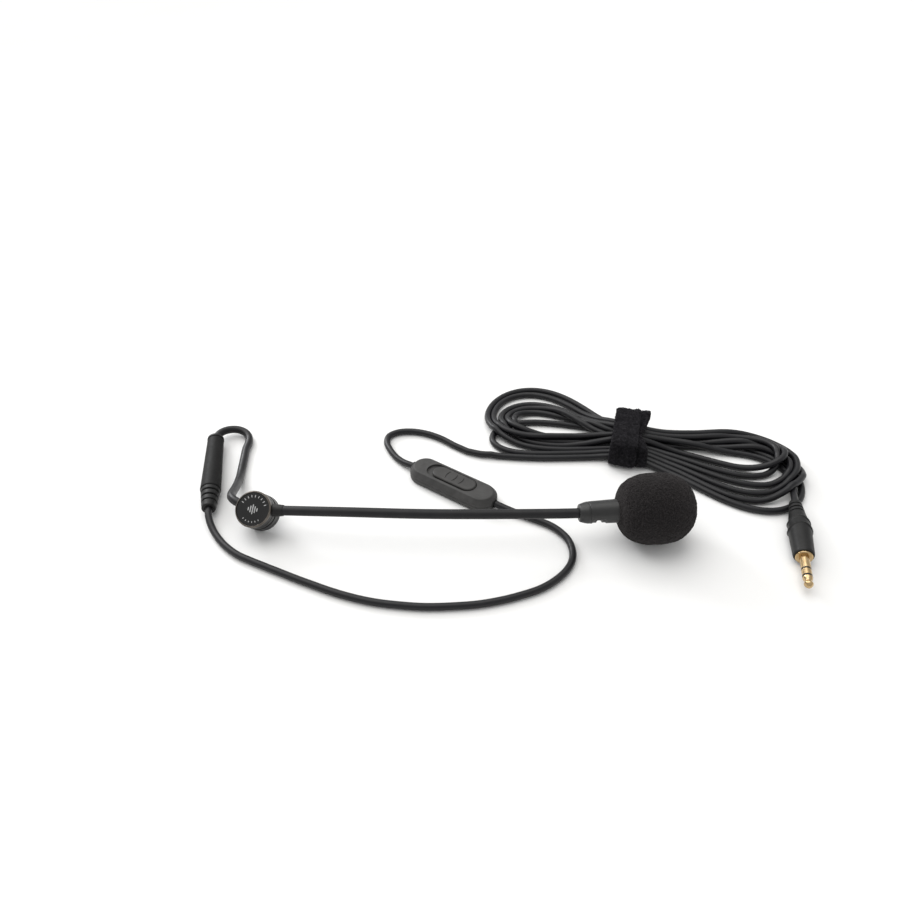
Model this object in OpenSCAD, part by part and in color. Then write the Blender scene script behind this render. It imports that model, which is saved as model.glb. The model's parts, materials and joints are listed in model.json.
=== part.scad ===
// Boom microphone with a magnetic clasp, a plug-in lead with a mute switch,
// and a hank of cord that ends in a 3.5 mm plug. It lies on a flat surface.
// Millimetres. +Z is up, +X runs along the boom from the clasp to the
// windscreen. The origin is on the surface, under the middle of the microphone.

/* [Windscreen] */
// Length of the foam windscreen
foam_len = 28.6; // [27.5:0.1:31.5]
// Diameter of the foam windscreen
foam_d = 27.4; // [26:0.1:27.4]
// Radius of the flat ring round the foam's mouth
foam_mouth_r = 6.5; // [5.8:0.1:7.5]

/* [Microphone head] */
// Diameter of the capsule housing where the foam grips it
head_d = 8.5; // [8.2:0.1:8.6]
// Length of the capsule housing with its tail collar
head_len = 31; // [29:0.5:31.5]
// Diameter of the electret capsule
capsule_d = 5.9; // [5.6:0.1:6]

/* [Boom] */
// Diameter of the boom's rubber sleeve
boom_d = 3.7; // [3.4:0.1:3.8]
// Diameter of the annealed wire inside the boom
boom_wire_d = 1.3; // [1.1:0.1:1.3]
// Gap between the sections of the sleeve, where the boom bends
bend_gap = 1.3; // [1.2:0.1:1.8]

/* [Clasp] */
// Diameter of the clasp over its trim ring
clasp_d = 13.8; // [13.6:0.1:14]
// Height of the clasp from its sticky pad to its face
clasp_h = 11.5; // [11.4:0.1:11.8]
// Lean of the clasp's axis away from vertical, in degrees
clasp_lean = 39; // [37:0.5:41]
// Diameter of the magnet in the base clasp
magnet_d = 9; // [8:0.1:9.4]

/* [Mute switch] */
// Length of the switch box
switch_len = 39.6; // [38:0.2:41]
// Width of the switch box
switch_w = 12.5; // [12:0.1:13]
// Height of the switch box at its top face
switch_h = 5.6; // [5.4:0.1:5.8]
// Travel of the mute knob
knob_travel = 2.7; // [2:0.1:2.8]

/* [Cord and fittings] */
// Diameter of the short lead on the microphone
mic_lead_d = 3.3; // [3:0.1:3.4]
// Diameter of the long cord
cord_d = 2.7; // [2.5:0.1:2.7]
// Height of the hank of cord
hank_h = 7.4; // [7:0.1:8]
// Width of the cable tie's strap
tie_w = 17.6; // [15:0.2:19]
// Diameter of the plug's metal shank
plug_d = 3.5; // [3.5]

/* [Hidden] */
$fn = 64;

black = "#1d1d20";
satin = "#2a2a2d";
rubber = "#202022";
steel = "#b9bcc0";
gold = "#d9b45c";

fit = 0.08;   // radial clearance of a piece that slides or turns in another
eps = 0.01;   // overrun of a cut

// Boom: where its axis starts in the clasp, three bends and the tail collar.
boom_points = [[-72.9, 2.2, 10.7], [-43, -1.6, 13.3], [-15, -2.8, 13.5],
    [13, -3, 13.6], [40.7, -2.6, 13.7]];

// Head: its axis starts at the boom's last point, level, turned a little.
head_turn = 5;
collar_len = 4.2;
foam_from = 15.3;
foam_widest = 14.4;
bore_depth = 19;
head_bore_r = 3.3;
sleeve_bore = 1.25;
foam_r = foam_d / 2;
head_r = head_d / 2;

// Clasp: heights along its axis, measured from the sticky face.
clasp_turn = -102;
pad_r = 6.6;
clasp_at = [-77.1, 7.4, pad_r * sin(clasp_lean)];
clasp_r = clasp_d / 2;
pad_top = 0.8;
base_top = 3.9;
base_rim_top = 4.9;
table_r = 6.35;
table_bottom = 4.1;
table_top = 5;
keeper_t = 0.5;
shell_r = clasp_r - 0.15;
shell_bottom = 5.2;
shell_floor = 6.2;
ring_bottom = clasp_h - 1.3;
badge_bottom = clasp_h - 0.9;
badge_top = clasp_h - 0.4;
badge_r = clasp_r - 1.25;
stem_r = 2;
lead_height = 7.6;
lead_angle = 256;

// Coupler: its boot's near end, and its lengths along its axis.
coupler_at = [-98.9, 10.1, 4];
coupler_turn = 99.6;
boot_len = 10.5;
barrel_len = 32.4;
cap_len = 1.6;
barrel_r = 4;
barrel_mouth_r = 3.25;

// Switch: its centre, and heights from the surface it lies on.
switch_at = [-4.9, 26.2];
switch_turn = -35;
split_z = 2.6;
bevel_z = 3.8;
bevel_in = 1.5;
shell_wall = 1.1;
recess_len = 22.2;
recess_w = 7;
recess_x = -0.8;
recess_z = switch_h - 0.7;
knob_len = recess_len - knob_travel - 0.3;
knob_w = 6.4;
knob_x = recess_x + recess_len / 2 - 0.15 - knob_len / 2;
knob_top = switch_h + 0.6;
board_z = 1.5;
board_h = 0.7;
grommet_r = 1.9;
grommet_in = 15.2;

// Plug: the near end of its boot, and lengths along its axis.
plug_at = [127.7, 13.1, 4.25];
plug_turn = -102.1;
plug_body_len = 29;
collar_r = 3.1;
collar_from = 28.2;
collar_to = 29.8;
sleeve_len = 5.6;
band_len = 0.7;
ring_len = 2.6;
tip_len = 4.6;
plug_bore_r = 1.05;
plug_r = plug_d / 2;

// Hank and tie.
tie_at = [69.6, 53.3];
tie_turn = -8;
tie_y = 27;
tie_z = 11.4;
strap_t = 1.3;

// Routes of the cords, as points chosen by hand along their axes.
mic_lead_route = [[-83.5, 5, 11], [-84.7, 5.5, 11.2], [-86.9, 6.9, 11.3], [-88.5, 9, 11],
    [-89.3, 11.5, 10.1], [-89.7, 15.1, 8.6], [-90, 18.8, 7], [-90.4, 22.4, 5.4],
    [-90.9, 26, 3.9], [-91.3, 29.8, 2.7], [-91.8, 33.8, 1.9], [-92.2, 38.5, 1.7],
    [-92.6, 44, 1.7], [-93, 50, 1.7], [-92.8, 54.6, 1.7], [-93.5, 58, 1.9],
    [-95.4, 60.6, 2.3], [-98.3, 61.9, 2.8], [-101.4, 61.7, 3.2], [-104.1, 60.1, 3.6],
    [-105.8, 57.5, 3.9], [-106.3, 54, 4], [-106, 52, 4]];
front_route = [[-99.7, 14.8, 4], [-98.9, 10.1, 4], [-98.3, 7, 3.5], [-97.2, 4.2, 2.7],
    [-95.2, 0.6, 1.8], [-91.6, -4.3, 1.4], [-87.7, -8.4, 1.4], [-83.2, -11.9, 1.4],
    [-78.2, -14.6, 1.4], [-72.1, -17.6, 1.4], [-65.9, -20.6, 1.4], [-59.7, -23.6, 1.4],
    [-53.7, -26.3, 1.4], [-47.8, -28.9, 1.4], [-42, -31.1, 1.4], [-36.3, -32.9, 1.4],
    [-30.4, -34.3, 1.4], [-22.8, -35.4, 1.4], [-14.6, -36.1, 1.4], [-6, -35.9, 1.4],
    [3.7, -35, 1.4], [10.9, -33.5, 1.4], [18.3, -31.2, 1.4], [25.9, -28, 1.4],
    [31.1, -24.4, 1.4], [35.6, -19.8, 1.4], [38.3, -15, 1.4], [39.2, -10.2, 1.4],
    [38.4, -4.6, 1.4], [35.9, 0, 1.4], [32.4, 3.6, 1.4], [28.2, 6.2, 1.4], [23.4, 8.6, 1.5],
    [17.6, 11.5, 1.8], [12.6, 14.3, 2.3], [8.2, 17.1, 2.6]];
back_route = [[-18, 35.4, 2.6], [-22.2, 38.3, 2.4], [-25.6, 41, 1.8], [-28.7, 44.6, 1.4],
    [-31.6, 49.5, 1.4], [-33.4, 54.8, 1.4], [-32.8, 59.2, 1.4], [-29, 62, 1.4],
    [-22.8, 62.6, 1.4], [-16, 60.8, 1.4], [-10, 57.4, 1.4], [-4.2, 52.6, 1.4],
    [1.2, 48.8, 1.4], [7, 46.8, 1.5], [13, 46.2, 1.6], [19, 46.2, 1.7]];
plug_route = [[132, 30.5, 1.4], [131.4, 26, 1.7], [130.2, 21.5, 2.6], [128.9, 17, 3.7],
    [127.9, 13.6, 4.2], [126.8, 8.9, 4.25]];

// ---- helpers ----

function unit(v) = v / norm(v);
function heading(route, i) =
    unit(route[min(i + 1, len(route) - 1)] - route[max(i - 1, 0)]);

// One ring of corners round a route's point.
function ring(route, i, r, sides) =
    let (t = heading(route, i), s = unit(cross(t, [0, 0, 1])), u = cross(s, t))
    [for (k = [0:sides - 1]) route[i] + r * (cos(360 * k / sides) * s + sin(360 * k / sides) * u)];

// A tube swept along a route.
module cord(route, d, sides = 8) {
    n = len(route);
    corners = [for (i = [0:n - 1]) each ring(route, i, d / 2, sides)];
    first_cap = [for (k = [0:sides - 1]) k];
    last_cap = [for (k = [0:sides - 1]) (n - 1) * sides + sides - 1 - k];
    walls = [for (i = [0:n - 2], k = [0:sides - 1])
        [i * sides + k, (i + 1) * sides + k,
            (i + 1) * sides + (k + 1) % sides, i * sides + (k + 1) % sides]];
    polyhedron(corners, concat([first_cap], [last_cap], walls), convexity = 8);
}

// Puts children with their +Z along the line from a to b, starting at a.
module along(a, b) {
    v = b - a;
    translate(a) rotate([0, acos(v[2] / norm(v)), atan2(v[1], v[0])]) children();
}

module head_place() {
    translate(boom_points[4]) rotate([0, 90, head_turn]) children();
}

module clasp_place() {
    translate(clasp_at) rotate([0, clasp_lean, clasp_turn]) children();
}

module coupler_place() {
    translate(coupler_at) rotate([0, 90, coupler_turn]) children();
}

module switch_place() {
    translate([switch_at[0], switch_at[1], 0]) rotate([0, 0, switch_turn]) children();
}

module plug_place() {
    translate(plug_at) rotate([0, 90, plug_turn]) children();
}

module tie_place() {
    translate([tie_at[0], tie_at[1], 0]) rotate([0, 0, tie_turn]) children();
}

module tube(r_out, r_in, h) {
    difference() {
        cylinder(r = r_out, h = h);
        translate([0, 0, -eps]) cylinder(r = r_in, h = h + 2 * eps);
    }
}

// A flat ring between two heights.
module washer(r_out, r_in, from, to) {
    translate([0, 0, from]) tube(r_out, r_in, to - from);
}

// A solid of revolution from [radius, height] points.
module turned(points) {
    rotate_extrude() polygon(points);
}

// A long round-ended solid from its half section, as [half width, height] points.
module pill(length, width, section) {
    straight = length - width;
    back = [for (i = [len(section) - 1:-1:0]) [-section[i][0], section[i][1]]];
    rotate([90, 0, 90]) linear_extrude(straight, center = true)
        polygon(concat(section, back));
    for (s = [-1, 1]) translate([s * straight / 2, 0, 0])
        rotate_extrude() polygon(concat([[0, section[0][1]]], section,
            [[0, section[len(section) - 1][1]]]));
}

module plain_pill(length, width, from, to) {
    pill(length, width, [[width / 2, from], [width / 2, to]]);
}

// ---- microphone head ----

// Radius of the foam at a distance from its mouth: two superellipse halves.
function foam_radius(a) =
    a > foam_widest ?
        let (t = (a - foam_widest) / (foam_len - foam_widest)) foam_r * pow(1 - pow(t, 2.3), 1 / 2.3) :
        let (mouth = foam_mouth_r / foam_r, edge = pow(1 - pow(mouth, 2.6), 1 / 2.6),
            t = (foam_widest - a) / foam_widest * edge) foam_r * pow(1 - pow(t, 2.6), 1 / 2.6);

module windscreen() color("#2b2826") head_place() translate([0, 0, foam_from]) difference() {
    turned(concat([[0, 0]], [for (k = [0:30])
        let (a = foam_len * (1 - cos(6 * k)) / 2) [max(foam_radius(a), 0), a]]));
    translate([0, 0, -eps]) cylinder(r = head_r + fit, h = bore_depth);
}

module capsule_housing() color(black) head_place() difference() {
    turned([[0, collar_len - 0.6], [3.2, collar_len - 0.6], [3.2, collar_len], [3.95, collar_len],
        [head_r, foam_from], [head_r, head_len - 0.6], [head_r - 0.6, head_len], [0, head_len]]);
    translate([0, 0, collar_len + 1.8]) cylinder(r = head_bore_r, h = head_len);
    translate([0, 0, -eps]) cylinder(r = sleeve_bore, h = head_len);
    // the port that lets sound reach the back of the capsule
    rotate([0, 0, -42]) translate([4, 0, 7.6]) cube([3, 2.6, 5.4], center = true);
}

module tail_collar() color(satin) head_place() difference() {
    turned([[0, 0], [3.2, 0], [3.9, 1.1], [3.9, collar_len], [3.2, collar_len],
        [3.2, collar_len - 0.6], [0, collar_len - 0.6]]);
    // wide enough for the sleeve, which comes in at a slight angle
    translate([0, 0, -eps]) cylinder(r = boom_d / 2 + 0.3, h = collar_len + 1);
}

module capsule_grille() color(steel) head_place() difference() {
    translate([0, 0, head_len - 1.6]) cylinder(r = head_bore_r, h = 0.5);
    for (i = [0:5]) rotate([0, 0, 60 * i]) translate([1.9, 0, head_len - 2])
        cylinder(r = 0.55, h = 2, $fn = 24);
    translate([0, 0, head_len - 2]) cylinder(r = 0.7, h = 2, $fn = 24);
}

module dust_felt() color("#3a3a3a") head_place() translate([0, 0, head_len - 2.4])
    cylinder(r = head_bore_r, h = 0.8);

module electret_capsule() color(steel) head_place() translate([0, 0, head_len - 7.4]) union() {
    cylinder(r = capsule_d / 2, h = 4.8);
    for (s = [-1, 1]) translate([0, s * 1.1, -1]) cylinder(r = 0.3, h = 1, $fn = 24);
}

module capsule_boot() color(rubber) head_place() translate([0, 0, head_len - 7.4])
    tube(head_bore_r, capsule_d / 2, 4.6);

// ---- boom ----

// One straight stretch of sleeve between two bends. The last one runs on into the tail collar.
module boom_sleeve(i) {
    run = norm(boom_points[i + 1] - boom_points[i]);
    from = i == 0 ? 0 : bend_gap / 2;
    to = i == 3 ? run + collar_len - 0.8 : run - bend_gap / 2;
    color(satin) along(boom_points[i], boom_points[i + 1]) translate([0, 0, from])
        tube(boom_d / 2, sleeve_bore, to - from);
}

module boom_sleeve_1() boom_sleeve(0);
module boom_sleeve_2() boom_sleeve(1);
module boom_sleeve_3() boom_sleeve(2);
module boom_sleeve_4() boom_sleeve(3);

// The wires stop short of the bends, so that the sections can turn.
module boom_inner(i) {
    a = boom_points[i];
    b = boom_points[i + 1];
    run = norm(b - a);
    along(a, b) translate([0, 0, bend_gap / 2]) linear_extrude(run - bend_gap) children();
}

module boom_wire(i) color(steel) boom_inner(i)
    translate([0.5, 0]) circle(d = boom_wire_d, $fn = 32);

module signal_wires(i) color("#8c3a2e") boom_inner(i)
    for (s = [-1, 1]) translate([-0.66, s * 0.4]) circle(r = 0.32, $fn = 24);

module boom_wire_1() boom_wire(0);
module boom_wire_2() boom_wire(1);
module boom_wire_3() boom_wire(2);
module boom_wire_4() boom_wire(3);
module signal_wires_1() signal_wires(0);
module signal_wires_2() signal_wires(1);
module signal_wires_3() signal_wires(2);
module signal_wires_4() signal_wires(3);

// ---- clasp ----

boom_gland_r = 2.35;
lead_gland_r = 2.2;

// A solid cylinder along the boom where it leaves the clasp.
module boom_exit(r, from, to) {
    along(boom_points[0], boom_points[1]) translate([0, 0, from]) cylinder(r = r, h = to - from);
}

// The same for the short lead, from the clasp's axis outwards.
module lead_exit(r, from, to) {
    clasp_place() translate([0, 0, lead_height]) rotate([0, 90, lead_angle])
        translate([0, 0, from]) cylinder(r = r, h = to - from);
}

module clasp_housing() color(black) difference() {
    clasp_place() difference() {
        turned([[0, shell_bottom], [shell_r - 0.4, shell_bottom], [shell_r, shell_bottom + 0.4],
            [shell_r, ring_bottom], [0, ring_bottom]]);
        translate([0, 0, shell_floor]) cylinder(r = shell_r - 1, h = clasp_h);
        cylinder(r = stem_r + fit, h = clasp_h);
    }
    boom_exit(boom_gland_r, 0, 10);
    lead_exit(lead_gland_r, 5, 12);
}

module clasp_badge() color("#101012") clasp_place()
    washer(badge_r, 0, badge_bottom, badge_top);

module trim_ring() color("#55565a") clasp_place() difference() {
    turned([[0, ring_bottom], [clasp_r, ring_bottom], [clasp_r, clasp_h - 0.5],
        [clasp_r - 0.5, clasp_h], [0, clasp_h]]);
    translate([0, 0, badge_bottom]) cylinder(r = badge_r, h = 2);
    translate([0, 0, ring_bottom - eps]) cylinder(r = badge_r - 0.6, h = 2);
}

module splice_board() color("#2f5d3a") clasp_place()
    washer(4.6, 0, ring_bottom - 0.7, ring_bottom - 0.1);

module boom_gland() color(rubber) along(boom_points[0], boom_points[1]) difference() {
    turned([[0, 0.6], [boom_gland_r, 0.6], [boom_gland_r, 2.6], [2.15, 5.4], [0, 5.4]]);
    translate([0, 0, -eps]) cylinder(r = boom_d / 2, h = 12);
}

module lead_gland() color(rubber) difference() {
    lead_exit(lead_gland_r, 5.8, 7.2);
    lead_exit(mic_lead_d / 2, 4, 14);
}

module turntable() color(satin) clasp_place() difference() {
    union() {
        washer(table_r, 0, table_bottom, table_top);
        cylinder(r = stem_r, h = 7.3);
    }
    cylinder(r = magnet_d / 2, h = table_bottom + keeper_t);
}

module keeper_plate() color(steel) clasp_place()
    washer(magnet_d / 2, 0, table_bottom, table_bottom + keeper_t);

module swivel_clip() color(steel) clasp_place() washer(3, stem_r, shell_floor + 0.1, 6.8);

module base_clasp() color(black) clasp_place() difference() {
    turned([[0, pad_top], [clasp_r - 0.3, pad_top], [clasp_r, pad_top + 0.3],
        [clasp_r, base_rim_top - 0.2], [clasp_r - 0.2, base_rim_top],
        [table_r + 0.15, base_rim_top], [table_r + 0.15, base_top], [0, base_top]]);
    translate([0, 0, base_top - 2]) cylinder(r = magnet_d / 2, h = 3);
}

module base_magnet() color(steel) clasp_place()
    washer(magnet_d / 2, 0, base_top - 2, base_top);

module sticky_pad() color("#3c3c3e") clasp_place() washer(pad_r, 0, 0, pad_top);

// ---- short lead and coupler ----

module mic_lead() color(rubber) difference() {
    cord(mic_lead_route, mic_lead_d);
    coupler_place() cylinder(r = barrel_r, h = boot_len + barrel_len);
}

module coupler_cap() color(satin) coupler_place() translate([0, 0, boot_len + barrel_len])
    difference() {
        turned([[0, 0], [barrel_mouth_r + 0.15, 0], [barrel_mouth_r + 0.15, cap_len - 0.4],
            [barrel_mouth_r - 0.3, cap_len], [0, cap_len]]);
        translate([0, 0, -eps]) cylinder(r = mic_lead_d / 2, h = cap_len + 1);
    }

// The hidden 3.5 mm plug that the cap carries into the barrel.
module coupler_pin() color(gold) coupler_place() translate([0, 0, boot_len + barrel_len]) union() {
    translate([0, 0, -10]) cylinder(r = plug_r, h = 10);
    translate([0, 0, -14]) cylinder(r1 = 0.9, r2 = plug_r - 0.25, h = 4);
}

module coupler_contacts() color(gold) coupler_place()
    translate([0, 0, boot_len + barrel_len - 14.5]) tube(2.3, plug_r, 11);

module coupler_barrel() color(satin) coupler_place() difference() {
    turned([[0, boot_len], [barrel_r - 0.3, boot_len], [barrel_r, boot_len + 0.4],
        [barrel_mouth_r + 0.1, boot_len + barrel_len - 0.3],
        [barrel_mouth_r - 0.1, boot_len + barrel_len], [0, boot_len + barrel_len]]);
    translate([0, 0, boot_len + barrel_len - 14.5]) cylinder(r = plug_r, h = 20);
    translate([0, 0, boot_len + barrel_len - 14.5]) cylinder(r = 2.3, h = 11);
    translate([0, 0, boot_len - eps]) cylinder(r = cord_d / 2, h = 6);
}

// A tapered boot with grooves that let it flex.
module coupler_boot() color(rubber) coupler_place() difference() {
    turned([[0, 0], [2.7, 0], [3.75, boot_len], [0, boot_len]]);
    for (a = [2.7, 5.4, 8.1]) washer(5, 2.5, a, a + 0.7);
    translate([0, 0, -eps]) cylinder(r = cord_d / 2, h = 30);
}

module front_lead() color(rubber) cord(front_route, cord_d);

module back_lead() color(rubber) cord(back_route, cord_d);

// ---- mute switch ----

module switch_lower_shell() color(satin) switch_place() difference() {
    pill(switch_len, switch_w, [[switch_w / 2 - 0.6, 0], [switch_w / 2, 0.6], [switch_w / 2, split_z]]);
    plain_pill(switch_len - 2 * shell_wall, switch_w - 2 * shell_wall, shell_wall, split_z + eps);
    translate([0, 0, split_z]) rotate([0, 90, 0])
        cylinder(r = grommet_r, h = switch_len + 2, center = true);
}

module switch_upper_shell() color(satin) switch_place() difference() {
    pill(switch_len, switch_w, [[switch_w / 2, split_z], [switch_w / 2, bevel_z],
        [switch_w / 2 - bevel_in, switch_h]]);
    plain_pill(switch_len - 2 * shell_wall - 2, switch_w - 2 * shell_wall - 1.6,
        split_z - eps, recess_z - 0.6);
    translate([recess_x, 0, 0]) plain_pill(recess_len, recess_w, recess_z, switch_h + 1);
    translate([knob_x - knob_travel / 2, 0, recess_z])
        cube([knob_travel + 3.4, 2.6, 4], center = true);
    translate([0, 0, split_z]) rotate([0, 90, 0])
        cylinder(r = grommet_r, h = switch_len + 2, center = true);
}

module mute_knob() color("#333336") switch_place() translate([knob_x, 0, 0]) union() {
    pill(knob_len, knob_w, [[knob_w / 2, recess_z + 0.15], [knob_w / 2, knob_top - 0.5],
        [knob_w / 2 - 0.5, knob_top]]);
    translate([0, 0, recess_z]) cube([2.8, 2, 1.5], center = true);
    for (s = [-1, 0, 1]) translate([s * 3.4, 0, knob_top]) cube([0.5, 3.6, 0.5], center = true);
}

// The switch body has a channel in its top for its slider.
module slide_switch() color(steel) switch_place() translate([knob_x - knob_travel / 2, 0, 0])
    difference() {
        translate([-4.3, -2.1, board_z + board_h]) cube([8.6, 4.2, 1.9]);
        translate([-knob_travel / 2 - 0.9, -1.1, board_z + board_h + 0.8])
            cube([knob_travel + 1.8, 2.2, 3]);
    }

module switch_slider() color("#d8d8d4") switch_place()
    translate([knob_x - 0.75, -1, board_z + board_h + 0.9]) cube([1.5, 2, 1.05]);

module switch_board() color("#2f5d3a") switch_place()
    translate([-13, -3.6, board_z]) cube([26, 7.2, board_h]);

module switch_grommets() color(rubber) switch_place() translate([0, 0, split_z])
    for (s = [-1, 1]) rotate([0, s * 90, 0]) translate([0, 0, grommet_in])
        tube(grommet_r, cord_d / 2, switch_len / 2 - grommet_in);

// ---- hank and tie ----

module tie_outline(y, z) {
    r = z / 2;
    for (s = [-1, 1]) translate([s * (y / 2 - r), z / 2]) circle(r = r);
    translate([-y / 2 + r, 0]) square([y - 2 * r, z]);
}

module tie_core(width) {
    tie_place() translate([0, 0, strap_t]) rotate([90, 0, 90])
        linear_extrude(width, center = true) tie_outline(tie_y - 2 * strap_t, tie_z - 2 * strap_t);
}

module cable_tie() color("#151517") difference() {
    tie_place() rotate([90, 0, 90]) linear_extrude(tie_w, center = true) tie_outline(tie_y, tie_z);
    tie_core(tie_w + 1);
}

// The free end of the strap, lying on top of the loop.
module tie_tail() color("#151517") tie_place() translate([2.6, 1, tie_z])
    translate([-5.5, -6, 0]) cube([11, 12, 1.1]);

module hank_outline() {
    hull() {
        translate([22.5, 80.5]) circle(r = 12.5, $fn = 32);
        translate([22, 54.5]) circle(r = 12.5, $fn = 32);
        translate([tie_at[0] - 9, tie_at[1]]) square([1, 23], center = true);
    }
    hull() {
        translate([126.6, 38]) circle(r = 12, $fn = 32);
        translate([113.5, 26]) circle(r = 12, $fn = 32);
        translate([tie_at[0] + 9, tie_at[1]]) square([1, 23], center = true);
    }
}

module hank() color(rubber) union() {
    difference() {
        linear_extrude(hank_h) hank_outline();
        tie_place() cube([tie_w + 0.02, 40, 40], center = true);
    }
    tie_core(tie_w + 0.6);
}

module plug_lead() color(rubber) cord(plug_route, cord_d);

// ---- plug ----

module plug_body() color(satin) plug_place() difference() {
    turned([[0, 0], [2.3, 0], [3.1, 7], [4.1, 14], [4.2, 16], [4.15, 18.5],
        [3.75, plug_body_len - 0.4], [3.45, plug_body_len], [0, plug_body_len]]);
    for (a = [2, 4.1, 6.2]) washer(5, 2.1, a, a + 0.6);
    translate([0, 0, collar_from]) cylinder(r = collar_r, h = 5);
    translate([0, 0, -eps]) cylinder(r = cord_d / 2, h = 12);
}

module plug_collar() color(gold) plug_place() washer(collar_r, plug_bore_r, collar_from, collar_to);

module plug_sleeve() color(gold) plug_place()
    washer(plug_r, plug_bore_r, collar_to, collar_to + sleeve_len);

ring_from = collar_to + sleeve_len + band_len;
tip_from = ring_from + ring_len + band_len;

module plug_insulators() color("#161616") plug_place() difference() {
    union() {
        washer(plug_bore_r, 0, collar_from, tip_from);
        washer(plug_r, 0, ring_from - band_len, ring_from);
        washer(plug_r, 0, tip_from - band_len, tip_from);
    }
    translate([0, 0, collar_from - eps]) cylinder(r = 0.5, h = 30);
}

module plug_ring() color(gold) plug_place() washer(plug_r, plug_bore_r, ring_from, ring_from + ring_len);

// The tip has a waist for the socket's spring, and a rod back through the plug.
module plug_tip() color(gold) plug_place() union() {
    turned([[0, tip_from], [plug_r, tip_from], [plug_r - 0.1, tip_from + 0.8],
        [1.15, tip_from + 1.9], [1.62, tip_from + 2.9], [1.5, tip_from + 3.5],
        [0.55, tip_from + tip_len], [0, tip_from + tip_len]]);
    translate([0, 0, collar_from]) cylinder(r = 0.5, h = tip_from - collar_from + 0.5);
}

windscreen();
capsule_housing();
tail_collar();
capsule_grille();
dust_felt();
electret_capsule();
capsule_boot();
boom_sleeve_1();
boom_sleeve_2();
boom_sleeve_3();
boom_sleeve_4();
boom_wire_1();
boom_wire_2();
boom_wire_3();
boom_wire_4();
signal_wires_1();
signal_wires_2();
signal_wires_3();
signal_wires_4();
clasp_housing();
clasp_badge();
trim_ring();
splice_board();
boom_gland();
lead_gland();
turntable();
keeper_plate();
swivel_clip();
base_clasp();
base_magnet();
sticky_pad();
mic_lead();
coupler_cap();
coupler_pin();
coupler_barrel();
coupler_contacts();
coupler_boot();
front_lead();
switch_lower_shell();
switch_upper_shell();
mute_knob();
slide_switch();
switch_slider();
switch_board();
switch_grommets();
back_lead();
hank();
cable_tie();
tie_tail();
plug_lead();
plug_body();
plug_collar();
plug_sleeve();
plug_ring();
plug_tip();
plug_insulators();
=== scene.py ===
"""Looks for the boom microphone: its cords, foam, rubber, moulded plastic, tie and plug.

Everything is in metres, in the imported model's own frame. MM turns millimetres into metres.
"""

import json
import math
import random

import bpy
import numpy as np
from mathutils import Matrix, Vector, noise


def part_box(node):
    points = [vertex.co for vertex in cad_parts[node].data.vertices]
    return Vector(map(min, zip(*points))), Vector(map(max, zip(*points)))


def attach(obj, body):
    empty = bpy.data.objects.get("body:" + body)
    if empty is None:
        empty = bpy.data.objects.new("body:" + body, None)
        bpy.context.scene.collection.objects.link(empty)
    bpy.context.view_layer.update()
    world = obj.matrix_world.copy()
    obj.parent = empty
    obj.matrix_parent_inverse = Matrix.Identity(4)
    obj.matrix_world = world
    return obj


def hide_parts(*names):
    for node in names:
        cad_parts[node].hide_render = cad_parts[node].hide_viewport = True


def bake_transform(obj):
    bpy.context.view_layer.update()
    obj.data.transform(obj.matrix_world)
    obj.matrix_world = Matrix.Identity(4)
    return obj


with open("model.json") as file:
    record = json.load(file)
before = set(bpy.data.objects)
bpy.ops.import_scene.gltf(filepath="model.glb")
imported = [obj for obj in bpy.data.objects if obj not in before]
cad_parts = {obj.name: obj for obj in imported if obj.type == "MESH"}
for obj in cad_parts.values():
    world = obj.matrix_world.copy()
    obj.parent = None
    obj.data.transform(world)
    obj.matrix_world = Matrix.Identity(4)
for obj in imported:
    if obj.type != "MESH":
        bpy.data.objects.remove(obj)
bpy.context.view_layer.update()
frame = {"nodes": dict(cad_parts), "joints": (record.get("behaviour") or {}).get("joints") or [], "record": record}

MM = 0.001
NODES = frame["nodes"]
JOINTS = {j["name"]: j for j in frame["joints"]}
MOUNTS = {m["name"]: m for m in frame["record"]["mounts"]}


# ---- camera, light and stage ----

CAMERA_AT = (-3.1 * MM, -216 * MM, 214.2 * MM)
CAMERA_PITCH = math.radians(51.3)
LENS = 31.48


def placed(name, data):
    """A new object in the scene."""
    obj = bpy.data.objects.new(name, data)
    bpy.context.scene.collection.objects.link(obj)
    return obj


def make_camera():
    data = bpy.data.cameras.new("camera")
    data.lens = LENS
    data.sensor_width = 36
    data.clip_start = 0.01
    camera = placed("camera", data)
    camera.location = CAMERA_AT
    camera.rotation_euler = (CAMERA_PITCH, 0, 0)
    bpy.context.scene.camera = camera


def make_light(name, place, target, size, power, colour):
    data = bpy.data.lights.new(name, "AREA")
    data.shape = "DISK"
    data.size = size
    data.energy = power
    data.color = colour
    light = placed(name, data)
    light.location = place
    light.rotation_euler = (Vector(target) - Vector(place)).to_track_quat("-Z", "Y").to_euler()


def make_studio():
    sun = bpy.data.lights.new("soft_sky", "SUN")
    sun.energy = 1.85
    sun.angle = math.radians(70)
    sun.color = (1, 0.99, 0.97)
    sky = placed("soft_sky", sun)
    sky.rotation_euler = Vector((-0.3, 0.35, 1)).to_track_quat("Z", "Y").to_euler()
    make_light("rim", (-0.5, 0.55, 0.35), (0, 0.02, 0), 0.3, 2.5, (0.97, 0.98, 1))
    world = bpy.data.worlds.new("studio")
    world.use_nodes = True
    background = world.node_tree.nodes["Background"]
    background.inputs["Color"].default_value = (1, 1, 1, 1)
    background.inputs["Strength"].default_value = 0.64
    bpy.context.scene.world = world
    bpy.context.scene.view_settings.view_transform = "Standard"


# ---- materials ----


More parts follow.
